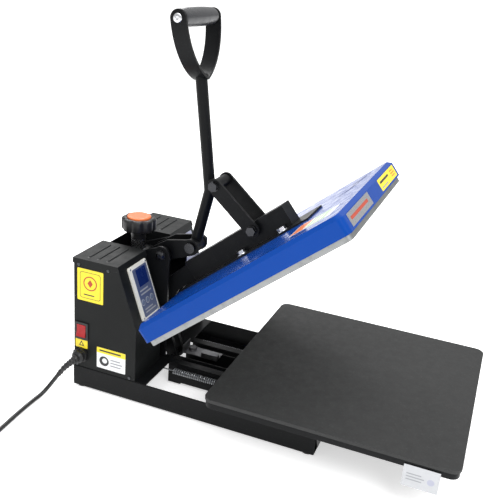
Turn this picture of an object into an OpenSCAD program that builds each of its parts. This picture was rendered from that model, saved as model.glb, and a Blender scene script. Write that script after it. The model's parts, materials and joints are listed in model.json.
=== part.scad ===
// Clamshell heat press with a pull-out lower platen, shown open.
// +X is the operator's right, +Y the rear, +Z up. The origin lies under the middle of the machine, on the
// floor.

/* [Platens] */
// Width of the square lower platen
platen_w = 380; // [340:2:400]
// Depth of the lower platen, front to rear
platen_d = 380; // [350:2:390]
// Height of the pad's top face above the floor
platen_top = 87; // [85:0.5:90]
// Thickness of the rubber pad
pad_t = 6; // [4:0.5:8]
// Thickness of the steel plate under the pad
plate_t = 10; // [8:0.5:10]
// Radius of the lower platen's corners
platen_r = 15; // [8:1:25]

/* [Upper platen] */
// Width of the upper casing
case_w = 352; // [300:2:380]
// Depth of the upper casing, front to rear
case_d = 378; // [350:2:380]
// Height of the upper casing
case_h = 30; // [26:1:32]
// Thickness of the cast heating plate below the casing
heat_t = 9; // [6:1:10]
// Angle at which the upper platen stands open
open_angle = 39.7; // [20:0.1:40]

/* [Base frame] */
// Width over the two outer rails
frame_w = 268; // [260:2:280]
// Height of the rails
rail_h = 37; // [34:1:38]
// Thickness of the rails' steel
rail_t = 2.5; // [2:0.25:3]
// Height of the rubber feet
foot_h = 3; // [2:0.5:4]
// Distance of the rails' front end in front of the machine's middle
rail_front = 108; // [100:1:112]

/* [Control towers] */
// Width of each tower
tower_w = 89.6; // [80:0.2:90]
// Height of the towers' top above the floor
tower_top = 236.2; // [230:0.2:240]
// Height of the knee where the slanted face starts
knee_z = 134.6; // [130:0.2:140]
// How far the slanted face leans back
slant_run = 36; // [20:1:40]

/* [Lever mechanism] */
// Diameter of the handle's tube
tube_d = 19; // [16:0.5:20]
// Width of the hand grip between the strap's legs
grip_w = 118; // [100:2:120]
// Diameter of the pressure knob
knob_d = 60; // [50:1:64]
// Width of the upper arm
arm_w = 35; // [34:0.5:36]
// Height of the upper arm above its flange
arm_h = 35; // [33:0.5:36]
// Thickness of the link and rocker plates
bar_t = 5; // [4:0.5:5]

/* [Power cord] */
// Diameter of the cord
cord_d = 7; // [6:0.5:8]

/* [Hidden] */

$fn = 48;
gap = 0.3;              // free space between parts that move past each other
fit = 0.06;             // radial clearance of a pin in its bore

// Frame
rear = 321;
rail_x = frame_w / 2;
rail_z0 = foot_h;
rail_z1 = foot_h + rail_h;
deck_t = 2.5;
deck_front = 184;
tail_slot = 26;
tail_slot_rear = 279;
flange_w = 22;
inner_x = 50;
inner_z0 = rail_z0 + rail_t;
inner_z1 = rail_z1 + 2;
lip_x = 35;
channel_x = 22;

// Mechanism pivots, in the side plane [y, z], with the press open
hinge = [226.2, 120];
rocker_pivot = [214, 229];
handle_pivot = [169, 246.5];
trunnion = [277, 184];
handle_pin = [131, 361.5];
arm_pin_open = [61, 301.5];
spring_arm = 94;
spring_bar_d = 9;
spring_x = 58;
spring_r = 4.4;
spring_wire = 2.2;
spring_pitch = 3.8;

// Upper platen, drawn closed and then opened about the hinge
case_rear = 165.9;
case_mid = case_rear - case_d / 2;
heat_z0 = platen_top + 0.4;
case_z0 = heat_z0 + heat_t;
case_z1 = case_z0 + case_h;
flange_t = 3;
arm_z0 = case_z1 + flange_t;
arm_rear = 127;
arm_front = -79;
arm_bolt_x = 28;
arm_bolt_y = [19.4, -63];

function turn(p, a) = [p[0] * cos(a) - p[1] * sin(a), p[0] * sin(a) + p[1] * cos(a)];
arm_pin = hinge + turn(arm_pin_open - hinge, open_angle);
spring_bar = hinge + spring_arm * [sin(open_angle / 2), -cos(open_angle / 2)];
spring_bar_open = hinge[0] - spring_arm * sin(open_angle / 2);

// Bolt radii
hinge_r = 8;
rocker_bolt_r = 7;
lever_bolt_r = 6;
link_bolt_r = 5;
trunnion_pin_r = 5;
washer_r = 8.5;
washer_t = 1.4;

// Lever plates: distance of each pair's inner face from the middle plane
rocker_x = 14;
link_x = 22;
cheek_x = 31;
cheek_t = 5;
cheek_front = 199;
cheek_rear = 300;
sleeve_half = link_x - 0.8;

// Handle
knee = [148.5, 345];
lean = 8.5;
up = [sin(lean), cos(lean)];
tube_top = knee + 181 * up;
grip_up = 89;
grip_centre = tube_top + grip_up * up;
strap_w = 26;
strap_t = 4;

// Towers
tower_in = rail_x - tower_w;
sheet = 1.2;
shell_rear = rear - 1.5;
shell_top = tower_top - 1.6;
lip_h = 9;
rib_y = 264;
rib_pitch = 17;
rib_r = 2.6;
rib_l = 60;
slant_front = 204;
slant_angle = atan2(tower_top - 1.5 - knee_z, slant_run);
function slant_y(z) = slant_front + (z - knee_z) * slant_run / (tower_top - 1.5 - knee_z);
bezel_x = -82;
bezel_w = 56;
bezel_l = 91;
bezel_s = 51;
bezel_t = 3;
button_s = 33;

// Switch and cord outlet on the left side panel
switch_y = 305;
switch_z = 108;
switch_w = 21.2;
switch_h = 27.2;
switch_pin = 3;         // depth of the rocker's axis inside the frame's side plane
gland_y = 306;
gland_z = 63;
gland_r = 7.9;
panel_x = -rail_x + sheet;

// Pressure adjuster
block_z1 = 214;
block_z0 = 204;
block_d = 24;
screw_r = 7;
screw_z0 = 160;
collar_top = 236;
knob_z0 = 252;
knob_z1 = 274;
cap_r = min(20.5, knob_d / 2 - 5);
cap_seat = 1.5;

// Power cord route, from the gland to the coil
cord_route = [[-149, 306, 63], [-154, 307, 62], [-160, 311, 58], [-165, 318, 50], [-169, 326, 38],
    [-173, 334, 25], [-179, 341, 13], [-188, 345, 6], [-200, 347, 3.5], [-216, 347, 3.5], [-236, 346.5, 3.5],
    [-256, 345.5, 3.5], [-278, 344, 3.5], [-300, 342.5, 3.5], [-322, 341.5, 3.5],
    [-345, 340.7, 3.5], [-372, 340.5, 3.5]];
relief_points = 4;
coil_centre = [-372, 388];
coil_r0 = 23;
coil_r1 = 51;
plug_at = [-384, 344, 10.6];    // where the plug's neck leaves the coil
plug_neck = 40;
plug_l = 32;

// ---------- shared shapes ----------

// A rectangle with round corners, centred
module rounded_rect(w, l, r) {
    square([w - 2 * r, l], center = true);
    square([w, l - 2 * r], center = true);
    for (x = [-1, 1], y = [-1, 1]) translate([x * (w / 2 - r), y * (l / 2 - r)]) circle(r);
}

// Extrudes a side-plane outline [y, z] along +X from x
module side_plate(x, t) {
    translate([x, 0, 0]) rotate([90, 0, 90]) linear_extrude(t) children();
}

// A bar with round ends between two points of the side plane
module bar2d(a, b, r) {
    d = b - a;
    translate(a) rotate(atan2(d[1], d[0])) {
        translate([0, -r]) square([norm(d), 2 * r]);
        circle(r);
        translate([norm(d), 0]) circle(r);
    }
}

// A cylinder along X through a point of the side plane
module x_rod(p, r, x0, x1) {
    translate([x0, p[0], p[1]]) rotate([0, 90, 0]) cylinder(r = r, h = x1 - x0);
}

module x_hex(p, across, x0, x1) {
    translate([x0, p[0], p[1]]) rotate([0, 90, 0]) cylinder(r = across / sqrt(3), h = x1 - x0, $fn = 6);
}

// Moves a closed upper-platen part to the open position
module opened() {
    translate([0, hinge[0], hinge[1]]) rotate([-open_angle, 0, 0])
        translate([0, -hinge[0], -hinge[1]]) children();
}

// Places a part on the slanted tower face, local Z pointing out of the face and local Y up along it
module on_slant(x, s) {
    translate([x, slant_front + s * cos(slant_angle), knee_z + s * sin(slant_angle)])
        rotate([slant_angle, 0, 0]) children();
}

// Centripetal blend through the route's points, used for the cord
function curve_point(p, i, t) = let (
    n = len(p), a = p[max(i - 1, 0)], b = p[i], c = p[min(i + 1, n - 1)], d = p[min(i + 2, n - 1)]
) 0.5 * ((2 * b) + (c - a) * t + (2 * a - 5 * b + 4 * c - d) * t * t + (3 * b - a - 3 * c + d) * t * t * t);
function curve_path(p, first, last, steps) = concat(
    [for (i = [first : last - 1], k = [0 : steps - 1]) curve_point(p, i, k / steps)], [p[last]]);
function unit(v) = v / norm(v);

// Sweeps a round section of varying radius along a path; radii holds the first and last radius
module swept_tube(path, r0, r1, sides) {
    n = len(path);
    tangents = [for (i = [0 : n - 1]) unit(path[min(i + 1, n - 1)] - path[max(i - 1, 0)])];
    rings = [for (i = [0 : n - 1]) let (
        t = tangents[i], u = unit(cross(t, [0, 0.6, 0.8])), v = cross(u, t), r = r0 + (r1 - r0) * i / (n - 1)
    ) for (k = [0 : sides - 1]) path[i] + r * (cos(360 * k / sides) * u + sin(360 * k / sides) * v)];
    faces = concat(
        [[for (k = [0 : sides - 1]) k]],
        [[for (k = [sides - 1 : -1 : 0]) (n - 1) * sides + k]],
        [for (i = [0 : n - 2], k = [0 : sides - 1]) let (m = (k + 1) % sides)
            [i * sides + k, (i + 1) * sides + k, (i + 1) * sides + m, i * sides + m]]);
    polyhedron(rings, faces, convexity = 8);
}

// ---------- base frame ----------

// One outer rail: an upright web with a flange turned in at the bottom, drawn for the right side
module outer_rail() {
    length = rear + rail_front;
    translate([rail_x - rail_t, -rail_front, rail_z0]) cube([rail_t, length, rail_h]);
    translate([rail_x - flange_w, -rail_front, rail_z0]) cube([flange_w, length, rail_t]);
}
module rail_left() { color("#16181a") mirror([1, 0, 0]) outer_rail(); }
module rail_right() { color("#16181a") outer_rail(); }

// A cross member between the rails: upright web, foot flange and round holes for the spring hooks
module cross_member(y, flange_dir) {
    half = rail_x - flange_w;
    inside = rail_x - rail_t;
    foot = 26;
    foot_y = flange_dir > 0 ? y : y + rail_t - foot;
    difference() {
        union() {
            translate([-inside, y, rail_z0 + rail_t]) cube([2 * inside, rail_t, rail_h - rail_t]);
            translate([-half, foot_y, rail_z0]) cube([2 * half, foot, rail_t]);
        }
        for (x = [-spring_x, spring_x]) translate([x, y - 1, spring_bar[1]])
            rotate([-90, 0, 0]) cylinder(r = 3, h = rail_t + 2);
    }
}
module front_cross_member() { color("#16181a") cross_member(-rail_front, 1); }
module rear_cross_member() { color("#16181a") cross_member(rear - rail_t, -1); }

// Inner drawer track: a C section open towards the middle
module inner_track() {
    y0 = -rail_front + rail_t;
    length = deck_front - y0;
    translate([inner_x - rail_t, y0, inner_z0]) cube([rail_t, length, inner_z1 - inner_z0]);
    for (z = [inner_z0, inner_z1 - rail_t]) translate([lip_x, y0, z]) cube([inner_x - lip_x, length, rail_t]);
}
module inner_rail_left() { color("#1b1d20") mirror([1, 0, 0]) inner_track(); }
module inner_rail_right() { color("#1b1d20") inner_track(); }

// Upward-open channel down the middle of the base, with a strap under its rear end for the inner rails
module centre_channel() {
    y0 = -rail_front + rail_t;
    length = deck_front - y0;
    strap = 24;
    color("#1b1d20") {
        difference() {
            translate([-channel_x, y0, inner_z0]) cube([2 * channel_x, length, rail_z1 - inner_z0]);
            translate([-channel_x + rail_t, y0 - 1, inner_z0 + rail_t])
                cube([2 * (channel_x - rail_t), length + 2, rail_h]);
        }
        translate([-inner_x, deck_front - strap, rail_z0]) cube([2 * inner_x, strap, rail_t]);
    }
}

// Deck under the towers, notched for the arm's tail
module base_deck() {
    color("#16181a") difference() {
        translate([-(rail_x - rail_t), deck_front, rail_z1 - deck_t])
            cube([2 * (rail_x - rail_t), rear - rail_t - deck_front, deck_t]);
        translate([-tail_slot, deck_front - 1, rail_z1 - 2 * deck_t])
            cube([2 * tail_slot, tail_slot_rear - deck_front + 1, 4 * deck_t]);
    }
}

module rubber_feet() {
    color("#101010") for (x = [-1, 1], y = [-rail_front + 13, rear - 13])
        translate([x * (rail_x - 12), y, 0]) cylinder(r = 10, h = foot_h);
}

// Zinc-plated stop on the centre channel, held by one hex bolt
module drawer_stop() {
    t = 2;
    color("#b9bcc0") translate([-8, 112, rail_z1]) {
        cube([28, 66, t]);
        translate([0, 66 - t, t]) cube([28, t, 14]);
        translate([0, 0, t]) cube([12, 30, 8]);
        translate([18, 54, t]) cylinder(r = 13 / sqrt(3), h = 5, $fn = 6);
    }
}

// ---------- uprights and adjuster ----------

module cheek_outline() {
    difference() {
        union() {
            polygon([[cheek_front, rail_z1], [cheek_rear, rail_z1], [cheek_rear, block_z1 - 8],
                [cheek_rear - 8, block_z1], [rocker_pivot[0], rocker_pivot[1] + 15],
                [cheek_front, rocker_pivot[1]]]);
            translate(rocker_pivot) circle(15);
        }
        translate(rocker_pivot) circle(rocker_bolt_r);
        translate(hinge) circle(hinge_r);
    }
}
module cheek_left() { color("#141517") side_plate(-cheek_x - cheek_t, cheek_t) cheek_outline(); }
module cheek_right() { color("#141517") side_plate(cheek_x, cheek_t) cheek_outline(); }

module adjuster_block() {
    color("#141517") difference() {
        h = block_z1 - block_z0;
        translate([-cheek_x, trunnion[0] - block_d / 2, block_z0]) cube([2 * cheek_x, block_d, h]);
        translate([0, trunnion[0], block_z0 - 1]) cylinder(r = screw_r + fit, h = h + 2);
    }
}

// Main hinge bolt through both cheeks, with a hex head and a nut
module main_hinge_pin() {
    edge = cheek_x + cheek_t;
    color("#8d9094") {
        x_rod(hinge, hinge_r, -edge, edge);
        x_hex(hinge, 22, -edge - 6, -edge);
        x_hex(hinge, 22, edge, edge + 6);
    }
}

// Rocker pivot bolt with round spacers and domed nuts outside the cheeks
module rocker_pivot_pin() {
    inner = rocker_x + bar_t + gap;
    edge = cheek_x + cheek_t;
    nut = 3;
    color("#8d9094") {
        x_rod(rocker_pivot, rocker_bolt_r, -edge, edge);
        for (s = [0, 1]) mirror([s, 0, 0]) {
            x_rod(rocker_pivot, 11, inner, cheek_x);
            x_hex(rocker_pivot, 17, edge, edge + nut);
            translate([edge + nut, rocker_pivot[0], rocker_pivot[1]]) rotate([0, 90, 0]) {
                cylinder(r = 7.5, h = 1.6);
                translate([0, 0, 1.6]) cylinder(r1 = 7.5, r2 = 4, h = 2.4);
            }
        }
    }
}

// ---------- towers ----------

// Side outline of a tower, moved in by d on every side and up to the given top
module tower_outline(d, z0, z1, rear_y) {
    polygon([[slant_front + d, z0], [slant_front + d, knee_z], [slant_y(z1) + d, z1],
        [rear_y - d, z1], [rear_y - d, z0]]);
}

// Folded sheet shell, open at the top; drawn for the left side
module tower_shell() {
    x0 = -rail_x + sheet;
    x1 = -tower_in - sheet;
    difference() {
        side_plate(x0, x1 - x0) tower_outline(0, rail_z1, shell_top, shell_rear);
        side_plate(x0 + sheet, x1 - x0 - 2 * sheet)
            tower_outline(sheet, rail_z1 + sheet, shell_top + 1, shell_rear);
    }
}
module tower_shell_left() {
    color("#1a1c1e") difference() {
        tower_shell();
        translate([-rail_x - 1, switch_y - switch_w / 2 - 0.2, switch_z - switch_h / 2 - 0.2])
            cube([6, switch_w + 0.4, switch_h + 0.4]);
        x_rod([gland_y, gland_z], gland_r + 0.1, -rail_x - 1, -rail_x + 6);
    }
}
module tower_shell_right() { color("#1a1c1e") mirror([1, 0, 0]) tower_shell(); }

// Lid with a turned-down lip and three pressed ribs
module tower_cover() {
    x0 = -rail_x;
    x1 = -tower_in;
    z0 = tower_top - lip_h;
    color("#1c1e20") {
        difference() {
            side_plate(x0, x1 - x0) polygon([[slant_y(z0) - 1.4, z0], [slant_y(tower_top) - 1.4, tower_top],
                [rear, tower_top], [rear, z0]]);
            side_plate(x0 + sheet, x1 - x0 - 2 * sheet) polygon([[slant_y(z0 - 1), z0 - 1],
                [slant_y(shell_top), shell_top], [shell_rear, shell_top], [shell_rear, z0 - 1]]);
        }
        for (k = [0 : 2]) translate([(x0 + x1) / 2, rib_y + rib_pitch * k, tower_top - 1.2]) {
            rotate([0, 90, 0]) cylinder(r = rib_r, h = rib_l, center = true, $fn = 24);
            for (s = [-1, 1]) translate([s * rib_l / 2, 0, 0]) sphere(r = rib_r, $fn = 24);
        }
    }
}
module tower_cover_left() { tower_cover(); }
module tower_cover_right() { mirror([1, 0, 0]) tower_cover(); }

module back_panel() {
    color("#141517") difference() {
        translate([-tower_in - sheet, shell_rear - sheet, rail_z1])
            cube([2 * (tower_in + sheet), sheet, tower_top - lip_h - rail_z1 - 0.2]);
        for (k = [0 : 4]) translate([-25, shell_rear - 5, 90 + 10 * k]) cube([50, 10, 4]);   // louvres
    }
}

// ---------- controller ----------

module controller_bezel() {
    color("#d9d6cc") on_slant(bezel_x, bezel_s) difference() {
        linear_extrude(bezel_t) rounded_rect(bezel_w, bezel_l, 3);
        translate([2, 22, -1]) linear_extrude(bezel_t + 2) square([30, 28], center = true);
        for (x = [-14, 0, 14]) translate([x, button_s - bezel_s, -1]) cylinder(r = 4.6, h = bezel_t + 2);
    }
}
module controller_screen() {
    color("#1e2c5a") on_slant(bezel_x + 2, bezel_s + 22)
        linear_extrude(bezel_t - 0.8) square([29.6, 27.6], center = true);
}

// A round push button; it stands on the slanted sheet with room to travel
module push_button(x) {
    color("#5f6f8f") on_slant(bezel_x + x, button_s) translate([0, 0, 1.4]) {
        cylinder(r = 4.2, h = 2.4);
        translate([0, 0, 2.4]) cylinder(r1 = 4.2, r2 = 3.6, h = 0.5);
    }
}
module button_set() { push_button(-14); }
module button_up() { push_button(0); }
module button_down() { push_button(14); }

// Circuit board behind the slanted face, with its transformer and relay
module controller_board() {
    board_y = 262;
    board_t = 1.6;
    face = board_y + board_t;
    color("#1f6b3a") {
        translate([-108, board_y, 120]) cube([56, board_t, 90]);
        translate([-104, face, 130]) cube([26, 22, 28]);
        translate([-72, face, 134]) cube([16, 18, 20]);
        for (x = [-105, -55], z = [123, 206]) translate([x, board_y - 4, z])
            rotate([-90, 0, 0]) cylinder(r = 2, h = 4);
        translate([-108, face, 120]) cube([3, shell_rear - sheet - face, 6]);
    }
}

// Heat-sinked power relay on the deck inside the right tower
module power_relay() {
    size = 52;
    fin = 2.8;
    fins = 7;
    color("#9a9da1") translate([62, 246, rail_z1 + sheet]) {
        cube([size, size, 4]);
        for (k = [0 : fins - 1]) translate([k * (size - fin) / (fins - 1), 0, 4]) cube([fin, size, 16]);
        translate([4, 4, 20]) cube([size - 8, size - 8, 22]);
    }
}

// ---------- switch ----------

module switch_housing() {
    color("#0e0f10") translate([-rail_x, switch_y, switch_z]) difference() {
        union() {
            translate([-1, -switch_w / 2 - 2, -switch_h / 2 - 2])
                cube([1 + sheet, switch_w + 4, switch_h + 4]);
            translate([0, -switch_w / 2, -switch_h / 2]) cube([sheet + 19, switch_w, switch_h]);
        }
        translate([-3, -switch_w / 2 + 2, -switch_h / 2 + 1.8]) cube([14, switch_w - 4, switch_h - 3.6]);
        translate([switch_pin, 0, 0]) rotate([90, 0, 0])
            cylinder(r = 1.5 + fit, h = switch_w - 1.4, center = true);
    }
}

// Rocker with two faces that meet at the middle, tilted to its off position
module switch_rocker() {
    half = 10.6;
    color("#c21a1a") translate([-rail_x + switch_pin, switch_y, switch_z]) rotate([90, 8, 0]) {
        linear_extrude(switch_w - 4.8, center = true)
            polygon([[4, -8], [-3, -half], [-5.6, -half], [-4, 0], [-5.6, half], [-3, half], [4, 8]]);
        cylinder(r = 1.5, h = switch_w - 2, center = true);
    }
}

// ---------- cord ----------

module cord_gland() {
    color("#0d0e0f") difference() {
        union() {
            x_rod([gland_y, gland_z], gland_r, -138, panel_x + 12);
            x_hex([gland_y, gland_z], 24, -139, -rail_x + sheet);
            x_rod([gland_y, gland_z], 11, -145, -139);
            translate([-145, gland_y, gland_z]) rotate([0, -90, 0]) cylinder(r1 = 11, r2 = 7.6, h = 4);
            x_hex([gland_y, gland_z], 21, panel_x + sheet, panel_x + sheet + 5);
        }
        x_rod([gland_y, gland_z], cord_d / 2, -150, -100);
    }
}
module strain_relief() {
    color("#0d0e0f") swept_tube(curve_path(cord_route, 0, relief_points, 2), 7, 4.3, 12);
}
module power_cord() {
    path = curve_path(cord_route, relief_points, len(cord_route) - 1, 1);
    color("#121314") swept_tube(path, cord_d / 2, cord_d / 2, 10);
}

// Outer shape of the wound cord: three turns on the floor and two on top of them
module power_cord_coil() {
    h = 2 * cord_d + 0.1;
    color("#121314") translate([coil_centre[0], coil_centre[1], 0]) rotate_extrude()
        polygon([[coil_r0, 0], [coil_r1, 0], [coil_r1, 0.9 * cord_d], [coil_r1 - cord_d / 2, h],
            [coil_r0 + 1, h], [coil_r0, h - 1]]);
}

// Moulded plug lying on the floor, its tapered neck running out of the coil
module plug_body() {
    color("#0d0e0f") translate(plug_at) rotate([0, -90, 0]) {
        cylinder(r1 = cord_d / 2 + 0.8, r2 = 7, h = plug_neck);
        translate([-plug_at[2], -13, plug_neck]) cube([20, 26, plug_l]);
    }
}
module plug_pins() {
    color("#c8a24a") translate(plug_at) rotate([0, -90, 0]) translate([0, 0, plug_neck + plug_l - 2]) {
        for (y = [-6.35, 6.35]) translate([-1.2, y - 0.75, 0]) cube([6.3, 1.5, 19]);
        translate([-5, 0, 0]) cylinder(r = 2.4, h = 22);
    }
}

// ---------- lift springs ----------

// Extension spring along Y from the front cross member to the tail's cross bar, drawn at x = 0: its coils lie
// close together on a thin sleeve, with a straight hook rod at each end
module lift_spring() {
    front = -rail_front;
    bar = spring_bar_open - spring_bar_d / 2;
    hook = 16;
    coils = floor((bar - front - 2 * hook) / spring_pitch);
    body_l = coils * spring_pitch;
    color("#5c6066") translate([0, front, spring_bar[1]]) rotate([-90, 0, 0]) {
        cylinder(r = spring_wire / 2, h = hook);
        translate([0, 0, hook]) rotate_extrude() {
            for (i = [0 : coils]) translate([spring_r, i * spring_pitch])
                circle(r = spring_wire / 2, $fn = 24);
            translate([spring_r - 0.4, 0]) square([0.8, body_l]);
            for (i = [0, coils]) translate([0, i * spring_pitch - 0.8]) square([spring_r, 1.6]);
        }
        translate([0, 0, hook + body_l]) cylinder(r = spring_wire / 2, h = bar - front - hook - body_l);
    }
}
module lift_spring_left() { translate([-spring_x, 0, 0]) lift_spring(); }
module lift_spring_right() { translate([spring_x, 0, 0]) lift_spring(); }

// ---------- upper platen ----------

// Pressed sheet casing, open below, with a chamfer all round its top
module upper_case() {
    chamfer = 6;
    wall = 2;
    color("#1b49a8") opened() translate([0, case_mid, 0]) difference() {
        union() {
            translate([0, 0, case_z0]) linear_extrude(case_h - chamfer) rounded_rect(case_w, case_d, 10);
            hull() {
                translate([0, 0, case_z1 - chamfer - 0.1]) linear_extrude(0.1)
                    rounded_rect(case_w, case_d, 10, $fn = 32);
                translate([0, 0, case_z1 - 0.1]) linear_extrude(0.1)
                    rounded_rect(case_w - 2 * chamfer, case_d - 2 * chamfer, 8, $fn = 32);
            }
        }
        translate([0, 0, case_z0 - 1]) linear_extrude(case_h - chamfer)
            rounded_rect(case_w - 2 * wall, case_d - 2 * wall, 8);
        translate([0, 0, case_z1 - chamfer - wall]) linear_extrude(chamfer + 0.5)
            rounded_rect(case_w - 17, case_d - 17, 6);
        arm_bolt_holes(case_z1 - 5, 4.1);
    }
}
module heat_plate() {
    color("#a9abad") opened() translate([0, case_mid, heat_z0]) linear_extrude(heat_t)
        rounded_rect(case_w - 8, case_d - 8, 10);
}
module insulation_blanket() {
    color("#e4dcc4") opened() translate([0, case_mid, 0]) difference() {
        translate([0, 0, case_z0]) linear_extrude(case_h - 10) rounded_rect(case_w - 14, case_d - 14, 6);
        arm_bolt_holes(case_z0 - 1, 9);
    }
}

// Cutters for the four arm bolts, measured from the casing's middle
module arm_bolt_holes(z, r) {
    for (x = [-1, 1], y = arm_bolt_y) translate([x * arm_bolt_x, y - case_mid, z])
        cylinder(r = r, h = case_h + 10);
}

// Box arm welded on its flange plate
module upper_arm() {
    wall = 3;
    color("#141517") opened() difference() {
        union() {
            translate([-38, -114, case_z1]) cube([76, 265, flange_t]);
            translate([-arm_w / 2, arm_front, arm_z0]) cube([arm_w, arm_rear - arm_front, arm_h]);
        }
        translate([-arm_w / 2 + wall, arm_front + wall, arm_z0])
            cube([arm_w - 2 * wall, arm_rear - arm_front, arm_h - wall]);
        x_rod(arm_pin, link_bolt_r, -40, 40);
        translate([0, case_mid, 0]) arm_bolt_holes(case_z1 - 1, 4.1);
    }
}

// Tail welded in the arm's rear end: two plates, the hinge bush and the lever with its cross bar
module arm_tail() {
    inner = 8.4;
    plate = arm_w / 2 - 3 - inner;
    color("#1d1f22") opened() {
        difference() {
            union() {
                for (x = [-inner - plate, inner]) side_plate(x, plate) union() {
                    polygon([[arm_rear - 9, arm_z0], [arm_rear - 9, arm_z0 + arm_h - 5], [172, 157],
                        [238, 133], [214, 107], [170, arm_z0]]);
                    translate(hinge) circle(18);
                    bar2d(hinge, spring_bar, 10);
                }
                x_rod(hinge, 14, -cheek_x + gap, cheek_x - gap);
            }
            x_rod(hinge, hinge_r + fit, -50, 50);
        }
        x_rod(spring_bar, spring_bar_d / 2, -spring_x - 6, spring_x + 6);
    }
}

module arm_bolts() {
    color("#c9ccd0") opened() for (x = [-1, 1], y = arm_bolt_y) translate([x * arm_bolt_x, y, 0]) {
        translate([0, 0, case_z0]) cylinder(r = 4, h = arm_z0 - case_z0 + 1);
        translate([0, 0, arm_z0]) cylinder(r = 9, h = 1.6);
        translate([0, 0, arm_z0 + 1.6]) cylinder(r = 13 / sqrt(3), h = 5.3, $fn = 6);
    }
}

// Bolt through the arm that carries both links, with spacers
module arm_link_pin() {
    head = link_x + bar_t + gap;
    color("#3a3d41") opened() {
        x_rod(arm_pin, link_bolt_r, -head, head);
        for (s = [0, 1]) mirror([s, 0, 0]) {
            x_rod(arm_pin, washer_r, arm_w / 2, link_x - gap);
            x_rod(arm_pin, washer_r, head, head + washer_t);
            x_hex(arm_pin, 14, head + washer_t, head + 7);
        }
    }
}

// ---------- links ----------

module link_plate(x) {
    color("#17181a") side_plate(x, bar_t) difference() {
        bar2d(handle_pin, arm_pin_open, 12);
        translate(handle_pin) circle(link_bolt_r);
        translate(arm_pin_open) circle(link_bolt_r + fit);
    }
}
module link_left() { link_plate(-link_x - bar_t); }
module link_right() { link_plate(link_x); }

// A half bolt in each link's upper hole; both stop short of the handle's sleeve
module link_bolts() {
    edge = link_x + bar_t;
    color("#3a3d41") for (s = [0, 1]) mirror([s, 0, 0]) {
        x_rod(handle_pin, link_bolt_r, link_x - gap, edge);
        x_rod(handle_pin, washer_r, edge, edge + washer_t);
        x_hex(handle_pin, 14, edge + washer_t, edge + 6.5);
    }
}

// ---------- handle ----------

// A round tube between two points of the side plane, at x = 0
module mid_tube(a, b, r) {
    d = b - a;
    translate([0, a[0], a[1]]) rotate([atan2(d[1], d[0]) - 90, 0, 0]) cylinder(r = r, h = norm(d));
}
module handle_tube() {
    color("#131416") difference() {
        union() {
            mid_tube(handle_pivot, knee, tube_d / 2);
            translate([0, knee[0], knee[1]]) sphere(r = tube_d / 2 + 0.3);
            mid_tube(knee, tube_top, tube_d / 2);
            x_rod(handle_pivot, 12.5, -rocker_x + gap, rocker_x - gap);
            x_rod(handle_pin, 9.5, -sleeve_half, sleeve_half);
            side_plate(-3, 6) bar2d(knee, handle_pin, 7);
        }
        x_rod(handle_pivot, lever_bolt_r + fit, -30, 30);
        x_rod(handle_pin, link_bolt_r + 0.4, -30, 30);
    }
}

// Lens-shaped outline between two arcs that meet at the origin, t wider than the strap's inner line
module strap_lens(t) {
    r = (grip_w * grip_w / 4 + grip_up * grip_up) / grip_w;
    intersection_for(s = [-1, 1]) translate([s * (grip_w / 2 - r), grip_up, 0])
        cylinder(r = r + t, h = strap_w, center = true, $fn = 180);
}

// Flat strap in two arcs that meet on the tube's top, with round eyes for the grip's bolt; drawn upright and
// then leaned with the tube
module grip_strap() {
    seat = strap_t + 2;
    color("#131416") translate([0, tube_top[0], tube_top[1]]) rotate([-lean, 0, 0]) difference() {
        intersection() {
            rotate([90, 0, 0]) difference() {
                strap_lens(strap_t);
                scale([1, 1, 2]) strap_lens(0);
            }
            union() {
                translate([-grip_w, -strap_w / 2, -seat]) cube([2 * grip_w, strap_w, grip_up + seat]);
                translate([-grip_w, 0, grip_up]) rotate([0, 90, 0]) cylinder(r = strap_w / 2, h = 2 * grip_w);
            }
        }
        translate([-grip_w, 0, grip_up]) rotate([0, 90, 0]) cylinder(r = 4, h = 2 * grip_w);
    }
}

// Barrel-shaped rubber sleeve on a through bolt
module handle_grip() {
    half = grip_w / 2 - 1.2;
    head = grip_w / 2 + strap_t + gap;
    head_t = 3.4;
    color("#2b2c2e") translate([0, grip_centre[0], grip_centre[1]]) rotate([0, 90, 0]) {
        rotate_extrude() polygon([[0, -half], [12, -half], [13, -half + 4], [14.5, -20], [14.5, 20],
            [13, half - 4], [12, half], [0, half]]);
        cylinder(r = 3.92, h = 2 * head, center = true);
        for (s = [-1, 1]) translate([0, 0, s * (head + head_t / 2)])
            cylinder(r = 7, h = head_t, center = true);
    }
}

// ---------- rocker and adjuster ----------

// Cranked plate on the rocker pivot: the handle bolt in front, a slot for the trunnion behind, and a corner
// cut away below the adjuster block
module rocker_plate(x) {
    slot = 2.4;
    color("#17181a") difference() {
        union() {
            side_plate(x, bar_t) bar2d(handle_pivot, rocker_pivot, 14);
            side_plate(x, bar_t) bar2d(rocker_pivot, trunnion, 12);
            side_plate(x, bar_t) polygon([[174, 259], [213, 251], [248, 228], [260, 205], [262, 186],
                [228, 212], [205, 224], [176, 240]]);
        }
        x_rod(handle_pivot, lever_bolt_r, x - 1, x + bar_t + 1);
        x_rod(rocker_pivot, rocker_bolt_r + fit, x - 1, x + bar_t + 1);
        for (y = [-slot, slot]) x_rod(trunnion + [y, 0], trunnion_pin_r + gap, x - 1, x + bar_t + 1);
        translate([x - 1, trunnion[0] - slot, trunnion[1] - trunnion_pin_r - gap])
            cube([bar_t + 2, 2 * slot, 2 * (trunnion_pin_r + gap)]);
        translate([x - 1, trunnion[0] - block_d / 2 - 6, block_z0 - 5]) cube([bar_t + 2, 50, 50]);
    }
}
module rocker_left() { rocker_plate(-rocker_x - bar_t); }
module rocker_right() { rocker_plate(rocker_x); }

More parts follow.
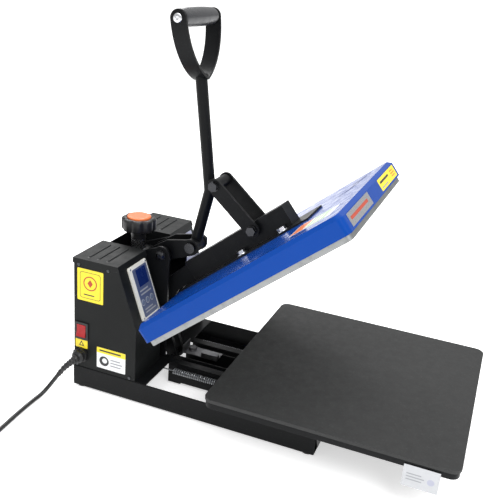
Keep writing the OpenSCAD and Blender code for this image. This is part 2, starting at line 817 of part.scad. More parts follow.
module handle_pivot_bolt() {
    edge = rocker_x + bar_t;
    color("#3a3d41") {
        x_rod(handle_pivot, lever_bolt_r, -edge, edge + 10);
        x_rod(handle_pivot, 9, -edge - 5, -edge);
        x_rod(handle_pivot, 10, edge, edge + 1.6);
        x_hex(handle_pivot, 19, edge + 1.6, edge + 10);
    }
}

// Cross nut whose pins ride in the rocker's rear slots; the adjuster screw runs through it
module trunnion_nut() {
    color("#8d9094") difference() {
        union() {
            x_rod(trunnion, 11, -rocker_x + gap, rocker_x - gap);
            x_rod(trunnion, trunnion_pin_r, -rocker_x - bar_t - 1, rocker_x + bar_t + 1);
        }
        translate([0, trunnion[0], trunnion[1] - 20]) cylinder(r = screw_r + fit, h = 40);
    }
}

module pressure_knob() {
    r = knob_d / 2;
    lobes = 8;
    color("#141414") translate([0, trunnion[0], 0]) difference() {
        union() {
            translate([0, 0, collar_top]) cylinder(r = 13, h = knob_z0 - collar_top + 1);
            translate([0, 0, knob_z0]) linear_extrude(knob_z1 - knob_z0) difference() {
                circle(r);
                for (k = [1 : lobes]) rotate(360 * k / lobes) translate([r + 4.5, 0]) circle(8);
            }
        }
        translate([0, 0, knob_z1 - cap_seat]) cylinder(r = cap_r + 0.1, h = 5);
        translate([0, 0, collar_top - 1]) cylinder(r = screw_r, h = 21);
    }
}
module knob_cap() {
    color("#e8873c") translate([0, trunnion[0], knob_z1 - cap_seat]) {
        cylinder(r = cap_r, h = 3.5);
        translate([0, 0, 3.5]) cylinder(r1 = cap_r, r2 = cap_r - 2.5, h = 1.2);
    }
}

// Threaded rod with its hex collar, which bears on the block
module adjuster_screw() {
    color("#c4c7cb") translate([0, trunnion[0], 0]) {
        translate([0, 0, screw_z0]) cylinder(r = screw_r, h = collar_top + 20 - screw_z0);
        translate([0, 0, block_z1 + gap]) cylinder(r = 12.5, h = 2);
        translate([0, 0, block_z1 + gap + 2])
            cylinder(r = 22 / sqrt(3), h = collar_top - block_z1 - gap - 2, $fn = 6);
    }
}

// ---------- drawer ----------

drawer_y = -rear + platen_d / 2;
module lower_plate() {
    color("#17181b") translate([0, drawer_y, platen_top - pad_t - plate_t]) linear_extrude(plate_t)
        rounded_rect(platen_w - 3, platen_d - 3, platen_r - 1.5);
}
module platen_pad() {
    color("#202123") translate([0, drawer_y, platen_top - pad_t]) linear_extrude(pad_t)
        rounded_rect(platen_w, platen_d, platen_r);
}

// Folded carriage under the plate; its side walls carry tongues that run in the inner rails
module drawer_carriage() {
    top = platen_top - pad_t - plate_t;
    low = inner_z0 + rail_t + gap;
    t = 2.5;
    y0 = -100;
    length = 155;
    wall_x = 31.5;
    tongue_x = inner_x - rail_t - gap;
    color("#222428") {
        translate([-120, -260, top - t]) cube([240, 310, t]);
        for (s = [0, 1]) mirror([s, 0, 0]) {
            translate([wall_x, y0, low]) cube([t, length, top - t - low]);
            for (z = [low, inner_z1 - rail_t - gap - t]) translate([wall_x, y0, z])
                cube([tongue_x - wall_x, length, t]);
            translate([90, -250, top - 14]) cube([t, 290, 14 - t]);
        }
    }
}

rail_left();
rail_right();
front_cross_member();
rear_cross_member();
inner_rail_left();
inner_rail_right();
centre_channel();
base_deck();
rubber_feet();
drawer_stop();
cheek_left();
cheek_right();
adjuster_block();
main_hinge_pin();
rocker_pivot_pin();
tower_shell_left();
tower_cover_left();
tower_shell_right();
tower_cover_right();
back_panel();
controller_bezel();
controller_screen();
controller_board();
power_relay();
switch_housing();
switch_rocker();
button_set();
button_up();
button_down();
cord_gland();
strain_relief();
power_cord();
power_cord_coil();
plug_body();
plug_pins();
lift_spring_left();
lift_spring_right();
upper_case();
heat_plate();
insulation_blanket();
upper_arm();
arm_tail();
arm_bolts();
arm_link_pin();
link_left();
link_right();
link_bolts();
handle_tube();
grip_strap();
handle_grip();
rocker_left();
rocker_right();
handle_pivot_bolt();
trunnion_nut();
pressure_knob();
knob_cap();
adjuster_screw();
lower_plate();
platen_pad();
drawer_carriage();
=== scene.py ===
import json
from math import atan2, cos, pi, radians, sin

import bmesh
import bpy
from mathutils import Matrix, Vector


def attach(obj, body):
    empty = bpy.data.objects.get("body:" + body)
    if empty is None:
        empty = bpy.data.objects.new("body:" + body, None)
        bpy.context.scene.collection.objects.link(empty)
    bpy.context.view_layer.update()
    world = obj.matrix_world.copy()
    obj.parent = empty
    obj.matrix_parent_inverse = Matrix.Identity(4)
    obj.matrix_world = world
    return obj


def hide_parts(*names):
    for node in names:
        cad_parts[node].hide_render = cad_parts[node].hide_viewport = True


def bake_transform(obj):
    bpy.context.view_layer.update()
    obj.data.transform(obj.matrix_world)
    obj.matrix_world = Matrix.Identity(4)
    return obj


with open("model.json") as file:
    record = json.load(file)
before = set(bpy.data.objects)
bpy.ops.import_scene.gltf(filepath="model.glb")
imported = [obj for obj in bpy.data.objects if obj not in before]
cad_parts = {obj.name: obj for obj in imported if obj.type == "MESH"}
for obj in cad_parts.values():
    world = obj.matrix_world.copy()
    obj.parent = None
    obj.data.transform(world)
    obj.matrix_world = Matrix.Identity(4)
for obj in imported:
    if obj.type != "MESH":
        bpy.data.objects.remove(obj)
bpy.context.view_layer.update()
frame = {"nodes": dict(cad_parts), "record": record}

record = frame["record"]
BODY = {node: body for body, nodes in record["behaviour"]["bodies"].items() for node in nodes}
SLOT = {part["node"]: part["material_slot"] for part in record["subparts"]}
MM = 0.001


def at(x, y, z):
    """A point given in millimetres."""
    return Vector((x, y, z)) * MM


# ---------- camera ----------

def make_camera():
    """Turned, tilted down, then rolled round its own line of sight."""
    yaw, pitch, roll = radians(-70.59), radians(21.19), radians(5.017)
    forward = Vector((-sin(yaw) * cos(pitch), cos(yaw) * cos(pitch), -sin(pitch)))
    level_right = Vector((cos(yaw), sin(yaw), 0))
    level_up = level_right.cross(forward)
    right = cos(roll) * level_right + sin(roll) * level_up
    up = cos(roll) * level_up - sin(roll) * level_right
    data = bpy.data.cameras.new("camera")
    data.sensor_width = 36
    data.lens = 52.28
    data.clip_start, data.clip_end = 0.01, 100
    camera = bpy.data.objects.new("camera", data)
    camera.matrix_world = Matrix((right, up, -forward)).transposed().to_4x4()
    camera.location = (-1.0464, -0.2981, 0.6878)
    bpy.context.scene.collection.objects.link(camera)
    bpy.context.scene.camera = camera


# ---------- materials ----------

NOISE_ROUGHNESS = 0.55
MIX_A, MIX_B, MIX_RESULT = 6, 7, 2    # the colour sockets of a Mix node
# Light grey for edges: bare metal where paint is rubbed off, and also a painted highlight.
BARE_METAL_AND_HIGHLIGHT = (0.22, 0.22, 0.23)
DUST_ON_PAINT = (0.30, 0.30, 0.29)
DUST_ON_RUBBER = (0.36, 0.36, 0.35)


class Shader:
    """A principled material with helpers that work in object space."""

    def __init__(self, name):
        self.material = bpy.data.materials.new(name)
        self.material.use_nodes = True
        self.tree = self.material.node_tree
        self.tree.nodes.clear()
        out = self.node("ShaderNodeOutputMaterial")
        self.surface = self.node("ShaderNodeBsdfPrincipled")
        self.feed(out.inputs["Surface"], self.surface.outputs["BSDF"])
        self.coord = self.node("ShaderNodeTexCoord").outputs["Object"]

    def node(self, kind, **values):
        made = self.tree.nodes.new(kind)
        for key, value in values.items():
            setattr(made, key, value)
        return made

    def feed(self, socket, value):
        """Gives an input socket a number, a colour or another node's output."""
        if isinstance(value, (int, float)):
            socket.default_value = value
        elif isinstance(value, tuple):
            socket.default_value = (*value, 1)
        else:
            self.tree.links.new(value, socket)

    def set(self, **values):
        for key, value in values.items():
            self.feed(self.surface.inputs[key.replace("_", " ")], value)

    def mapped(self, stretch):
        mapping = self.node("ShaderNodeMapping")
        mapping.inputs["Scale"].default_value = stretch
        self.feed(mapping.inputs["Vector"], self.coord)
        return mapping.outputs["Vector"]

    def noise(self, scale, detail=3, vector=None):
        noise = self.node("ShaderNodeTexNoise")
        for key, value in (("Scale", scale), ("Detail", detail), ("Roughness", NOISE_ROUGHNESS),
                           ("Vector", vector or self.coord)):
            self.feed(noise.inputs[key], value)
        return noise.outputs["Fac"]

    def remap(self, value, low, high, to_low=0, to_high=1):
        """Carries low..high over to another range and stops at its ends."""
        scaled = self.node("ShaderNodeMapRange", clamp=True)
        for key, number in (("Value", value), ("From Min", low), ("From Max", high),
                            ("To Min", to_low), ("To Max", to_high)):
            self.feed(scaled.inputs[key], number)
        return scaled.outputs["Result"]

    def math(self, kind, a, b):
        math = self.node("ShaderNodeMath", operation=kind)
        self.feed(math.inputs[0], a)
        self.feed(math.inputs[1], b)
        return math.outputs[0]

    def mix(self, factor, a, b):
        mix = self.node("ShaderNodeMix", data_type="RGBA")
        self.feed(mix.inputs["Factor"], factor)
        self.feed(mix.inputs[MIX_A], a)
        self.feed(mix.inputs[MIX_B], b)
        return mix.outputs[MIX_RESULT]

    def edge(self, radius):
        """How sharply the surface turns within the radius: 0 on a flat, towards 1 on an edge."""
        rounded = self.node("ShaderNodeBevel", samples=4)
        rounded.inputs["Radius"].default_value = radius
        geometry = self.node("ShaderNodeNewGeometry")
        dot = self.node("ShaderNodeVectorMath", operation="DOT_PRODUCT")
        self.feed(dot.inputs[0], rounded.outputs["Normal"])
        self.feed(dot.inputs[1], geometry.outputs["Normal"])
        return self.math("SUBTRACT", 1, dot.outputs["Value"])

    def bump(self, height, strength, distance):
        bump = self.node("ShaderNodeBump")
        for key, value in (("Height", height), ("Strength", strength), ("Distance", distance)):
            self.feed(bump.inputs[key], value)
        self.feed(self.surface.inputs["Normal"], bump.outputs["Normal"])


def shade(color, factor):
    return tuple(min(1, channel * factor) for channel in color)


def paint(name, color, rough, spec, vary=0.25, grain=1100, bump=0.12, wear_and_highlight=0.0, dust=0.0):
    """Sprayed or powder-coated metal: orange peel, cloudy gloss, light edges that are partly rubbed paint
    and partly painted highlight, and a little dust.
    """
    s = Shader(name)
    tone = s.mix(s.noise(9, 4), shade(color, 1 - vary), shade(color, 1 + vary))
    gloss = s.remap(s.noise(60, 5), 0.3, 0.7, rough - 0.06, rough + 0.07)
    if dust:
        specks = s.remap(s.noise(420, 2), 0.62, 0.74)
        tone = s.mix(s.math("MULTIPLY", specks, dust), tone, DUST_ON_PAINT)
    # Edges lightened towards grey: partly rubbed paint, partly painted highlight.
    if wear_and_highlight:
        rubbed_and_lit_edges = s.math("MULTIPLY", s.remap(s.edge(0.0009), 0.06, 0.3), s.remap(s.noise(130, 4), 0.42, 0.62))
        tone = s.mix(s.math("MULTIPLY", rubbed_and_lit_edges, wear_and_highlight), tone, BARE_METAL_AND_HIGHLIGHT)
    s.set(Base_Color=tone, Roughness=gloss, Specular_IOR_Level=spec)
    s.bump(s.noise(grain, 2), bump, 0.00012)
    return s.material


def metal(name, color, rough, streak, vary=0.15, stain=0.0):
    """Bare or plated metal with fine machining lines and faint stains."""
    s = Shader(name)
    lines = s.noise(700, 3, vector=s.mapped(streak))
    tone = s.mix(s.noise(35, 4), shade(color, 1 - vary), shade(color, 1 + vary))
    if stain:
        spots = s.remap(s.noise(90, 5), 0.52, 0.7)
        tone = s.mix(s.math("MULTIPLY", spots, stain), tone, shade(color, 0.35))
    s.set(Base_Color=tone, Metallic=1.0, Roughness=s.remap(lines, 0.25, 0.75, rough - 0.08, rough + 0.1))
    s.bump(lines, 0.06, 0.0001)
    return s.material


def moulded(name, color, rough, spec, grain=800, bump=0.2, vary=0.12, dust=0.0):
    """Moulded plastic or rubber: fine grain, slight mottling."""
    s = Shader(name)
    tone = s.mix(s.noise(22, 4), shade(color, 1 - vary), shade(color, 1 + vary))
    if dust:
        specks = s.remap(s.noise(350, 3), 0.58, 0.75)
        tone = s.mix(s.math("MULTIPLY", specks, dust), tone, DUST_ON_RUBBER)
    gloss = s.remap(s.noise(75, 4), 0.3, 0.7, rough - 0.07, rough + 0.07)
    s.set(Base_Color=tone, Roughness=gloss, Specular_IOR_Level=spec)
    s.bump(s.noise(grain, 3), bump, 0.00015)
    return s.material


def woven(name, color):
    """Fibre mat: crossed threads with loose fuzz."""
    s = Shader(name)
    warp = s.noise(260, 3, vector=s.mapped((1, 9, 1)))
    weft = s.noise(260, 3, vector=s.mapped((9, 1, 1)))
    weave = s.math("MAXIMUM", warp, weft)
    s.set(Base_Color=s.mix(weave, shade(color, 0.7), shade(color, 1.15)), Roughness=0.9, Sheen_Weight=0.3)
    s.bump(weave, 0.6, 0.0006)
    return s.material


def print_ink(name, color, rough=0.38):
    """Printed film on a sticker: faint paper texture under a satin film."""
    s = Shader(name)
    tone = s.mix(s.noise(160, 3), shade(color, 0.93), shade(color, 1.04))
    gloss = s.remap(s.noise(50, 3), 0.3, 0.7, rough - 0.05, rough + 0.06)
    s.set(Base_Color=tone, Roughness=gloss, Specular_IOR_Level=0.4)
    s.bump(s.noise(500, 2), 0.05, 0.0001)
    return s.material


PAINTS = {
    # The edge amount lightens edges, partly as rubbed paint and partly as painted highlight.
    "black_paint": dict(color=(0.0052, 0.0056, 0.0062), rough=0.38, spec=0.13, wear_and_highlight=0.5, dust=0.03),
    "charcoal_paint": dict(color=(0.0068, 0.0076, 0.0078), rough=0.44, spec=0.15, grain=1500, bump=0.3,
                           wear_and_highlight=0.25),
    "blue_paint": dict(color=(0.003, 0.050, 0.290), rough=0.2, spec=0.1, vary=0.04, grain=500, bump=0.02),
}
METALS = {
    "zinc": dict(color=(0.72, 0.73, 0.75), rough=0.24, streak=(1, 4, 1)),
    "dull_zinc": dict(color=(0.16, 0.16, 0.165), rough=0.42, streak=(1, 4, 1), stain=0.5),
    "steel": dict(color=(0.40, 0.41, 0.43), rough=0.34, streak=(1, 6, 1), stain=0.4),
    "dark_steel": dict(color=(0.10, 0.105, 0.115), rough=0.36, streak=(4, 1, 1), stain=0.3),
    "black_oxide": dict(color=(0.05, 0.051, 0.055), rough=0.26, streak=(3, 1, 1)),
    "cast_aluminium": dict(color=(0.30, 0.31, 0.31), rough=0.48, streak=(1, 1, 3), stain=0.3),
    "heat_sink": dict(color=(0.55, 0.56, 0.58), rough=0.35, streak=(1, 8, 1)),
    "brass": dict(color=(0.80, 0.60, 0.30), rough=0.28, streak=(5, 1, 1)),
}
MOULDINGS = {
    "rubber": dict(color=(0.022, 0.022, 0.023), rough=0.52, spec=0.4),
    "pad_rubber": dict(color=(0.026, 0.0265, 0.0265), rough=0.6, spec=0.32, grain=600, bump=0.18, vary=0.08,
                       dust=0.05),
    "cord_rubber": dict(color=(0.010, 0.010, 0.011), rough=0.38, spec=0.45, grain=400, bump=0.06),
    "grip": dict(color=(0.030, 0.031, 0.034), rough=0.33, spec=0.5, grain=300, bump=0.04),
    "black_plastic": dict(color=(0.012, 0.012, 0.013), rough=0.42, spec=0.4, grain=900, bump=0.1),
    "cream_plastic": dict(color=(0.70, 0.69, 0.62), rough=0.4, spec=0.45, bump=0.05, vary=0.05),
    "red_plastic": dict(color=(0.33, 0.010, 0.012), rough=0.25, spec=0.3, bump=0.03, vary=0.08),
    "orange_plastic": dict(color=(0.72, 0.17, 0.045), rough=0.36, spec=0.45, bump=0.08, vary=0.1),
    "button_plastic": dict(color=(0.10, 0.13, 0.20), rough=0.45, spec=0.4, bump=0.05),
    "screen": dict(color=(0.006, 0.010, 0.055), rough=0.09, spec=0.55, bump=0.0, vary=0.05),
    "board": dict(color=(0.012, 0.11, 0.04), rough=0.4, spec=0.4, bump=0.1),
}
INK_COLORS = {
    "yellow": (0.83, 0.66, 0.03), "white": (0.80, 0.81, 0.82), "pearl": (0.50, 0.51, 0.53),
    "dark": (0.02, 0.02, 0.022), "grey": (0.30, 0.31, 0.33), "face_blue": (0.07, 0.09, 0.165),
    "red": (0.42, 0.05, 0.02), "orange": (0.70, 0.16, 0.03), "green": (0.42, 0.60, 0.36),
    "lavender": (0.40, 0.41, 0.50),
}

MATERIAL = {"blanket": woven("blanket", (0.66, 0.62, 0.50))}
for recipe, looks in ((paint, PAINTS), (metal, METALS), (moulded, MOULDINGS)):
    for name, look in looks.items():
        MATERIAL[name] = recipe(name, **look)

INK = {name: print_ink("ink_" + name, color) for name, color in INK_COLORS.items()}
INK["navy"] = print_ink("ink_navy", (0.006, 0.018, 0.10), rough=0.25)
INK["silver"] = metal("ink_silver", (0.62, 0.63, 0.66), rough=0.3, streak=(1, 5, 1), vary=0.06)


# ---------- mesh tools ----------

def add(name, shape, materials, body=None, matrix=None, sharp=32):
    """Turns a bmesh into a piece. It rides on the body, if one is given."""
    if matrix is not None:
        bmesh.ops.transform(shape, matrix=matrix, verts=shape.verts)
    bmesh.ops.recalc_face_normals(shape, faces=shape.faces)
    mesh = bpy.data.meshes.new(name)
    shape.to_mesh(mesh)
    shape.free()
    for material in materials:
        mesh.materials.append(material)
    for face in mesh.polygons:
        face.use_smooth = True
    mesh.set_sharp_from_angle(angle=radians(sharp))
    piece = bpy.data.objects.new(name, mesh)
    bpy.context.scene.collection.objects.link(piece)
    if body:
        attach(piece, body)
    return piece


def soften(shape, width, segments):
    """Rounds every edge that turns by more than 28 degrees."""
    turn = radians(28)
    edges = [e for e in shape.edges if len(e.link_faces) == 2 and e.calc_face_angle(0) > turn]
    if edges:
        bmesh.ops.bevel(shape, geom=edges, offset=width * MM, offset_type="OFFSET", segments=segments,
                        profile=0.5, affect="EDGES", clamp_overlap=True)


def node_shape(node):
    """A copy of a CAD node's mesh with its flat faces joined up."""
    shape = bmesh.new()
    shape.from_mesh(frame["nodes"][node].data)
    bmesh.ops.remove_doubles(shape, verts=shape.verts, dist=2e-6)
    bmesh.ops.dissolve_limit(shape, angle_limit=0.008, verts=shape.verts[:], edges=shape.edges[:],
                             delimit=set())
    return shape


def join_rings(shape, rings):
    """Joins each closed ring of points to the next one. A ring of one point is a tip."""
    for a, b in zip(rings, rings[1:]):
        count = max(len(a), len(b))
        for k in range(count):
            after = (k + 1) % count
            if len(a) == 1:
                shape.faces.new((a[0], b[k], b[after]))
            elif len(b) == 1:
                shape.faces.new((a[k], b[0], a[after]))
            else:
                shape.faces.new((a[k], b[k], b[after], a[after]))


def lathe(profile, sides=48):
    """Turns a profile of (radius, height) in millimetres round +Z. A radius of 0 closes that end."""
    shape = bmesh.new()
    angles = [2 * pi * k / sides for k in range(sides)]
    rings = []
    for r, z in profile:
        if r == 0:
            rings.append([shape.verts.new((0, 0, z * MM))])
        else:
            rings.append([shape.verts.new((r * MM * cos(a), r * MM * sin(a), z * MM)) for a in angles])
    join_rings(shape, rings)
    return shape


def path_frames(points):
    """Side and up at each point of a path, without twisting."""
    last = len(points) - 1
    tangents = [(points[min(i + 1, last)] - points[max(i - 1, 0)]).normalized() for i in range(last + 1)]
    side = tangents[0].cross(Vector((0.13, 0.31, 0.94))).normalized()
    frames = []
    for tangent in tangents:
        side = (side - tangent * side.dot(tangent)).normalized()
        frames.append((side, tangent.cross(side)))
    return frames


def tube(points, radii, sides):
    """A closed round tube along points, with one radius a point, all in metres."""
    shape = bmesh.new()
    angles = [2 * pi * k / sides for k in range(sides)]
    rings = []
    for point, r, (side, up) in zip(points, radii, path_frames(points)):
        rings.append([shape.verts.new(point + r * (cos(a) * side + sin(a) * up)) for a in angles])
    join_rings(shape, rings)
    shape.faces.new(rings[0])
    shape.faces.new(rings[-1])
    return shape


def spline(points, steps):
    """Catmull-Rom curve through the points."""
    last = len(points) - 1
    curve = []
    for i in range(last):
        a, b, c, d = (points[max(i - 1, 0)], points[i], points[i + 1], points[min(i + 2, last)])
        for k in range(steps):
            t = k / steps
            curve.append(0.5 * (2 * b + (c - a) * t + (2 * a - 5 * b + 4 * c - d) * t * t
                                + (3 * b - a - 3 * c + d) * t * t * t))
    curve.append(points[last])
    return curve


def slab(outline, z0, z1):
    """A plate with the given outline in the XY plane, in millimetres."""
    shape = bmesh.new()
    low = [shape.verts.new(at(x, y, z0)) for x, y in outline]
    top = [shape.verts.new(at(x, y, z1)) for x, y in outline]
    shape.faces.new(low[::-1])
    shape.faces.new(top)
    count = len(outline)
    for k in range(count):
        after = (k + 1) % count
        shape.faces.new((low[k], low[after], top[after], top[k]))
    return shape


def rect(x0, x1, y0, y1, r=1.2, steps=4):
    """The outline of a rectangle with round corners."""
    corners = ((x1 - r, y0 + r, -90), (x1 - r, y1 - r, 0), (x0 + r, y1 - r, 90), (x0 + r, y0 + r, 180))
    outline = []
    for x, y, first in corners:
        for k in range(steps + 1):
            a = radians(first + 90 * k / steps)
            outline.append((x + r * cos(a), y + r * sin(a)))
    return outline


def circle(x, y, r, sides=28):
    angles = [2 * pi * k / sides for k in range(sides)]
    return [(x + r * cos(a), y + r * sin(a)) for a in angles]


def merge(target, source, material_index):
    """Adds a bmesh to another one with its own material number."""
    mesh = bpy.data.meshes.new("part")
    source.to_mesh(mesh)
    source.free()
    count = len(target.faces)
    target.from_mesh(mesh)
    bpy.data.meshes.remove(mesh)
    target.faces.ensure_lookup_table()
    for face in target.faces[count:]:
        face.material_index = material_index


# ---------- the faces that fittings and labels lie on ----------

HINGE = at(0, 226.2, 120)
OPEN_ANGLE = radians(-39.7)
OPEN = Matrix.Translation(HINGE) @ Matrix.Rotation(OPEN_ANGLE, 4, "X") @ Matrix.Translation(-HINGE)
SLANT_FOOT_Y, SLANT_FOOT_Z = 204, 134.6
SLANT_ANGLE = atan2(100.1, 36)
SIDE_PANEL_X = -132.8
PLATEN_SIDE_X = -190.02
SEEN_FROM_LEFT = Matrix(((0, 0, -1, 0), (-1, 0, 0, 0), (0, 1, 0, 0), (0, 0, 0, 1)))


def on_slant(x, s):
    """The towers' slanted front, at a distance s up the slope."""
    foot = at(x, SLANT_FOOT_Y + s * cos(SLANT_ANGLE), SLANT_FOOT_Z + s * sin(SLANT_ANGLE))
    return Matrix.Translation(foot) @ Matrix.Rotation(SLANT_ANGLE, 4, "X")


def on_left(y, z, x=SIDE_PANEL_X):
    """A face seen from the left: local X runs towards the front."""
    return Matrix.Translation(at(x, y, z)) @ SEEN_FROM_LEFT


# ---------- pieces carried over from the CAD with rounded edges and a finish ----------

EDGE_WIDTHS = {
    1.4: ("rail_left", "rail_right"),
    1.1: ("controller_bezel",),
    1.0: ("upper_case", "platen_pad"),
    0.9: ("upper_arm", "switch_rocker"),
    0.8: ("heat_plate", "lower_plate", "tower_shell_left", "tower_shell_right", "adjuster_block",
          "cord_gland", "rubber_feet"),
    0.7: ("cheek_left", "cheek_right", "rocker_left", "rocker_right", "link_left", "link_right", "knob_cap"),
    0.6: ("centre_channel", "arm_tail", "base_deck", "grip_strap", "drawer_carriage", "trunnion_nut"),
    0.5: ("switch_housing", "handle_tube", "inner_rail_left", "inner_rail_right", "front_cross_member",
          "rear_cross_member"),
    0.35: ("arm_bolts",),
    0.3: ("drawer_stop", "button_set", "button_up", "button_down", "power_relay"),
    0.2: ("controller_screen", "controller_board"),
}
EDGE = {node: width for width, nodes in EDGE_WIDTHS.items() for node in nodes}
USUAL_EDGE = 0.4
WIDE_EDGE = 0.9
FINISH = dict.fromkeys(("main_hinge_pin", "rocker_pivot_pin", "handle_pivot_bolt", "link_bolts",
                        "arm_link_pin"), "black_oxide")
FINISH["drawer_stop"] = "dull_zinc"
REMADE = {"power_cord", "power_cord_coil", "strain_relief", "plug_body", "plug_pins", "lift_spring_left",
          "lift_spring_right", "pressure_knob", "handle_grip"}


def dress(node, width, segments=2, sharp=32):
    """Replaces a CAD node by a copy with rounded edges and its finish."""
    shape = node_shape(node)
    soften(shape, width, segments)
    finish = MATERIAL[FINISH.get(node, SLOT[node])]
    piece = add(node + "_piece", shape, [finish], BODY[node], sharp=sharp)
    flat = piece.modifiers.new("level_flats", "WEIGHTED_NORMAL")
    flat.keep_sharp, flat.weight = True, 100
    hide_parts(node)
    return piece


def dress_all():
    for node in sorted(frame["nodes"]):
        if node in REMADE:
            continue
        width = EDGE.get(node, USUAL_EDGE)
        dress(node, width, 3 if width > WIDE_EDGE else 2)


# ---------- cord ----------

ROUTE = [at(*place) for place in (
    (-149, 306, 63), (-154, 307, 62), (-160, 311, 58), (-165, 318, 50), (-169, 326, 38), (-173, 334, 25),
    (-179, 341, 13), (-188, 345, 6), (-200, 347, 3.5), (-216, 347, 3.5), (-236, 346.5, 3.5),
    (-256, 345.5, 3.5), (-278, 344, 3.5), (-300, 342.5, 3.5), (-322, 341.5, 3.5), (-345, 340.7, 3.5),
    (-372, 340.5, 3.5))]
COIL_X, COIL_Y = -372, 388
COIL_TURNS = 5
COIL_STEPS = 150
FLOOR_LAY = 3.5
LAY_RISE = 7.1
CORD_RADIUS = 3.5 * MM


def coil_point(turn):
    """A point of the wound cord: three turns inwards on the floor, then two outwards on top of them."""
    r = 47.5 - 7 * turn if turn <= 3 else 26.5 + 10.5 * min(turn - 3, 1) + 7 * max(turn - 4, 0)
    climb = min(max((turn - 2.5) / 0.5, 0), 1)
    z = FLOOR_LAY + LAY_RISE * climb * climb * (3 - 2 * climb)
    a = 2 * pi * turn
    return at(COIL_X - r * sin(a), COIL_Y - r * cos(a), z)


def cord_points():
    """Along the route, round the coil, and out over it to the plug."""
    points = spline(ROUTE, 4)
    points += [coil_point(COIL_TURNS * k / COIL_STEPS) for k in range(1, COIL_STEPS + 1)]
    points += [at(COIL_X - ahead, 344, FLOOR_LAY + LAY_RISE) for ahead in (0, 12, 24, 32)]
    for point in points:
        point.z = max(point.z, CORD_RADIUS * 1.03)
    return points


def make_relief():
    """Ribbed strain relief round the cord's first stretch."""
    way = spline(ROUTE[:5], 8)
    last = len(way) - 1
    radii = []
    for i in range(last + 1):
        groove = 0.9 if i % 4 in (2, 3) and 3 < i < last - 1 else 0
        radii.append((7 - 2.7 * i / last - groove) * MM)
    relief = add("cord_relief", tube(way, radii, 24), [MATERIAL["cord_rubber"]], "base",
                 sharp=50)
    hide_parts("strain_relief")
    return relief


def make_cord():
    points = cord_points()
    curve = bpy.data.curves.new("power_cord_curve", "CURVE")
    curve.dimensions = "3D"
    curve.bevel_depth = CORD_RADIUS
    curve.bevel_resolution = 4
    curve.use_fill_caps = True
    line = curve.splines.new("POLY")
    line.points.add(len(points) - 1)
    for knot, point in zip(line.points, points):
        knot.co = (*point, 1)
    line.use_smooth = True
    curve.materials.append(MATERIAL["cord_rubber"])
    cord = bpy.data.objects.new("mains_cord", curve)
    bpy.context.scene.collection.objects.link(cord)
    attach(cord, "base")
    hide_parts("power_cord", "power_cord_coil")

    relief = make_relief()
    body = dress("plug_body", 2.2, 4, sharp=60)
    pins = dress("plug_pins", 0.3)


# ---------- springs, knob and grip ----------

def make_springs():
    """Helical lift springs, drawn out between the cross member and the tail's bar."""
    front, rear, height = -92, 170.2, 31.585
    radius, wire, pitch, steps = 4.4, 1.1, 3.8, 14
    count = round((rear - front) / pitch) * steps
    for side, x in (("left", -58), ("right", 58)):
        way = [at(x, y, height) for y in (-107.5, -100, front - 1.5)]
        for k in range(count + 1):
            a = 2 * pi * k / steps
            way.append(at(x + radius * cos(a), front + (rear - front) * k / count, height + radius * sin(a)))
        way += [at(x, y, height) for y in (rear + 1.5, rear + 8, 189.5)]
        node = "lift_spring_" + side
        helix = tube(way, [wire * MM] * len(way), 8)
        spring = add("helix_" + side, helix, [MATERIAL["steel"]])
        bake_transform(spring)
        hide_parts(node)


def make_knob():
    """Knob with eight soft lobes and a dished top round its cap."""
    axis_y, sides, lobes, lobe_depth = 277, 96, 8, 3.4
    profile = ((0, 236), (11.6, 236), (12.8, 236.8), (12.8, 251), (14, 252), (26.5, 252), (28.6, 252.9),
               (29.8, 255), (29.9, 270), (29.2, 272.3), (27.2, 273.7), (24.5, 274), (21.8, 273.9),
               (21.0, 273.2), (20.9, 272.4), (0, 272.4))
    shape = bmesh.new()
    rings = []
    for r, z in profile:
        if r == 0:
            rings.append([shape.verts.new(at(0, axis_y, z))])
            continue
        towards_rim = min(max((r - 21) / 6, 0), 1)
        ring = []
        for k in range(sides):
            a = 2 * pi * k / sides
            lobe = 0.5 + 0.5 * cos(lobes * a)
            dip = lobe_depth * lobe * lobe * lobe * towards_rim
            ring.append(shape.verts.new(at((r - dip) * cos(a), axis_y + (r - dip) * sin(a), z)))
        rings.append(ring)
    join_rings(shape, rings)
    knob = add("lobed_knob", shape, [MATERIAL["black_plastic"]], "knob", sharp=40)
    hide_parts("pressure_knob")


def make_grip():
    """Barrel grip with end rims, on a bolt with zinc heads."""
    place = Matrix.Translation(at(0, 188.41, 612.05)) @ Matrix.Rotation(pi / 2, 4, "Y")
    body = BODY["handle_grip"]
    rim = [(0, 57.8), (10.8, 57.8), (12.0, 57.0), (12.5, 55.4), (12.9, 53.8)]
    barrel = [(14.5 - 1.4 * (abs(k) / 10) ** 2.2, k * 5.2) for k in range(-10, 11)]
    profile = [(r, -z) for r, z in rim] + barrel + rim[::-1]
    grip = add("barrel_grip", lathe(profile, 56), [MATERIAL["grip"]], body, place)
    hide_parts("handle_grip")

    bolt = bmesh.new()
    merge(bolt, lathe([(0, -63), (3.9, -63), (3.9, 63), (0, 63)], 24), 0)
    head = [(0, 63.3), (6.2, 63.3), (6.9, 63.6), (6.9, 65.1), (6.2, 66.1), (4.6, 66.6), (2.9, 66.7),
            (2.4, 65.5), (0, 65.2)]
    near_head = lathe(head, 40)
    bmesh.ops.transform(near_head, matrix=Matrix.Rotation(pi, 4, "X"), verts=near_head.verts)
    merge(bolt, near_head, 0)
    merge(bolt, lathe(head, 40), 0)
    add("grip_bolt", bolt, [MATERIAL["zinc"]], body, matrix=place)


# ---------- small fittings ----------

